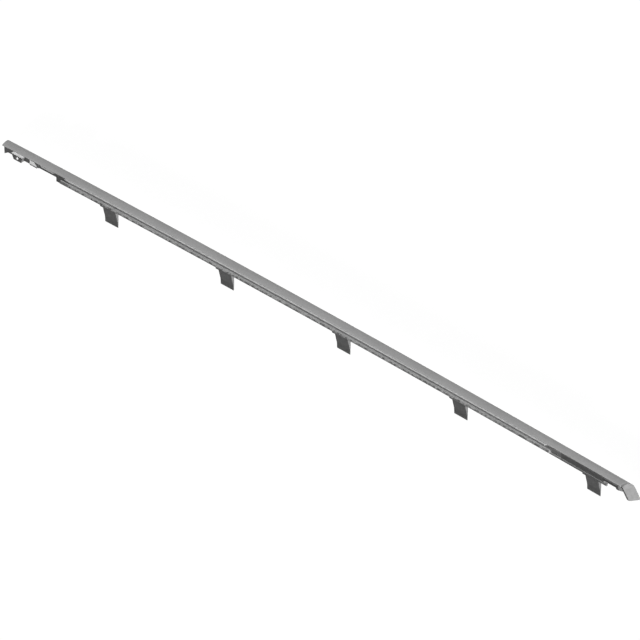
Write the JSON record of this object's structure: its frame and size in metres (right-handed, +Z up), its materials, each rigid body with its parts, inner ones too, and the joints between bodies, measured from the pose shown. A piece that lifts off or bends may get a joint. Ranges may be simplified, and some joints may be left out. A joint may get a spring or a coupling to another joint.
{
  "type": "door belt sealing strip",
  "caption": "Long, slightly arched belt sealing strip for a car door: folded cover moulding, rubber channel seal with lips, hanging clips and end pieces.",
  "frame": {"origin": "centre of the footprint, on the surface that the strip lies on", "axes": "+X along the strip towards its rear end cap, +Y towards the strip's crown, away from the clips, +Z up from the outboard face towards the glass side"},
  "size_m": [0.9106, 0.0382, 0.0132],
  "materials": {
    "moulding": "satin, coated light grey",
    "seal_rubber": "matte, with a flocked lower lip",
    "clip_plastic": "moulded, matte",
    "bracket_plastic": "moulded, matte",
    "cap_plastic": "moulded, satin"
  },
  "bodies": {
    "root": {"reveal_moulding": "moulding", "seal_strip": "seal_rubber", "retaining_clip_1": "clip_plastic", "retaining_clip_2": "clip_plastic", "retaining_clip_3": "clip_plastic", "retaining_clip_4": "clip_plastic", "retaining_clip_5": "clip_plastic", "front_end_bracket": "bracket_plastic", "rear_end_cap": "cap_plastic"}
  },
  "joints": []
}
